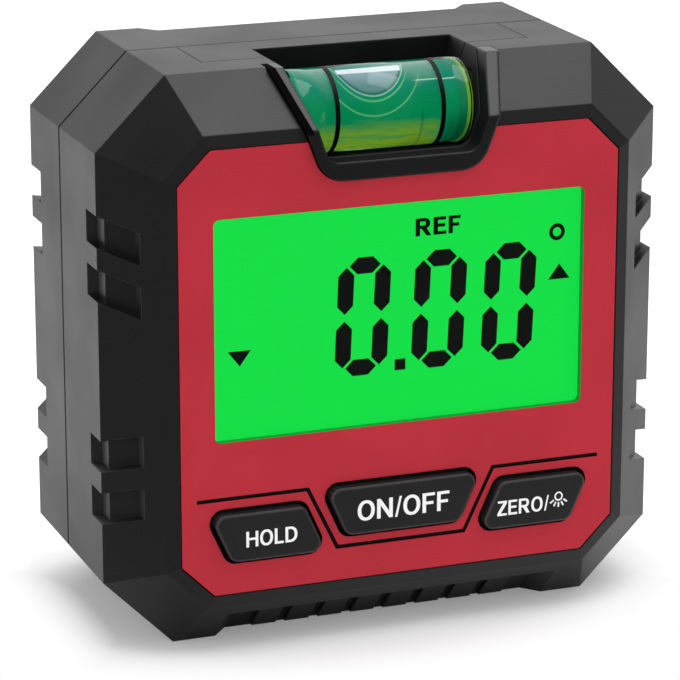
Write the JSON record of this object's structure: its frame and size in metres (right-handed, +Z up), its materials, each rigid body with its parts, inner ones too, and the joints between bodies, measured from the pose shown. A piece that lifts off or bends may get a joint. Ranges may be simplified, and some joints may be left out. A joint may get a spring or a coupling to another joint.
{
  "type": "digital angle gauge",
  "caption": "Square pocket angle gauge with a bevelled two-shell case, red face plate, lit display, press keys, a spirit vial in the top edge and a magnetic base.",
  "frame": {"origin": "on the base plane, under the middle of the case", "axes": "+X to the right of the display, +Y from the face towards the back, +Z up from the base"},
  "size_m": [0.058, 0.0323, 0.057],
  "materials": {
    "case_black": "fine moulded texture",
    "trim_black": "satin moulded",
    "plate_red": "satin printed plate",
    "window_clear": "clear polished sheet",
    "display_green": "lit liquid crystal display",
    "guide_clear": "frosted light guide",
    "led": "light emitting diode",
    "frame_white": "white moulding",
    "strip_grey": "layered contact rubber",
    "board_green": "coated circuit board",
    "chip_black": "moulded chip package",
    "key_dark": "soft satin key",
    "switch_metal": "folded switch cover",
    "vial_clear": "clear acrylic",
    "vial_green": "coloured liquid",
    "plug_green": "acrylic plug",
    "ring_black": "painted line",
    "cell_wrap": "plain printed sleeve",
    "contact_metal": "nickel plated sheet",
    "spring_metal": "nickel plated wire",
    "lead_red": "insulated wire",
    "screw_steel": "zinc plated",
    "magnet_steel": "nickel plated magnet"
  },
  "bodies": {
    "case": {"front_shell": "case_black", "rear_cover": "case_black", "face_plate": "plate_red", "display_window": "window_clear", "display_glass": "display_green", "light_guide": "guide_clear", "backlight_led": "led", "display_frame": "frame_white", "contact_strip": "strip_grey", "circuit_board": "board_green", "controller_chip": "chip_black", "tilt_sensor": "chip_black", "hold_switch": "switch_metal", "power_switch": "switch_metal", "zero_switch": "switch_metal", "vial_bezel": "trim_black", "vial_cradle": "trim_black", "vial_barrel": "vial_clear", "vial_plug": "plug_green", "vial_fluid": "vial_green", "vial_ring_left": "ring_black", "vial_ring_right": "ring_black", "upper_cell": "cell_wrap", "lower_cell": "cell_wrap", "upper_contact": "contact_metal", "lower_contact": "contact_metal", "bridge_contact": "contact_metal", "upper_spring": "spring_metal", "lower_spring": "spring_metal", "battery_leads": "lead_red", "case_screws": "screw_steel", "board_screws": "screw_steel", "front_left_magnet": "magnet_steel", "front_right_magnet": "magnet_steel", "rear_left_magnet": "magnet_steel", "rear_right_magnet": "magnet_steel"},
    "hold_button": {"hold_key": "key_dark", "hold_plunger": "key_dark"},
    "power_button": {"power_key": "key_dark", "power_plunger": "key_dark"},
    "zero_button": {"zero_key": "key_dark", "zero_plunger": "key_dark"},
    "door": {"battery_door": "trim_black"}
  },
  "joints": [
    {"name": "hold_press", "type": "slide", "parent": "case", "child": "hold_button", "axis": [0, 1, 0], "range_m": [0, 0.0004], "stiffness_N_per_m": 2500},
    {"name": "power_press", "type": "slide", "parent": "case", "child": "power_button", "axis": [0, 1, 0], "range_m": [0, 0.0004], "stiffness_N_per_m": 2500},
    {"name": "zero_press", "type": "slide", "parent": "case", "child": "zero_button", "axis": [0, 1, 0], "range_m": [0, 0.0004], "stiffness_N_per_m": 2500},
    {"name": "door_tilt", "type": "hinge", "parent": "case", "child": "door", "pos_m": [0, 0.0155, 0.0167], "axis": [-1, 0, 0], "range_deg": [0, 60]}
  ]
}
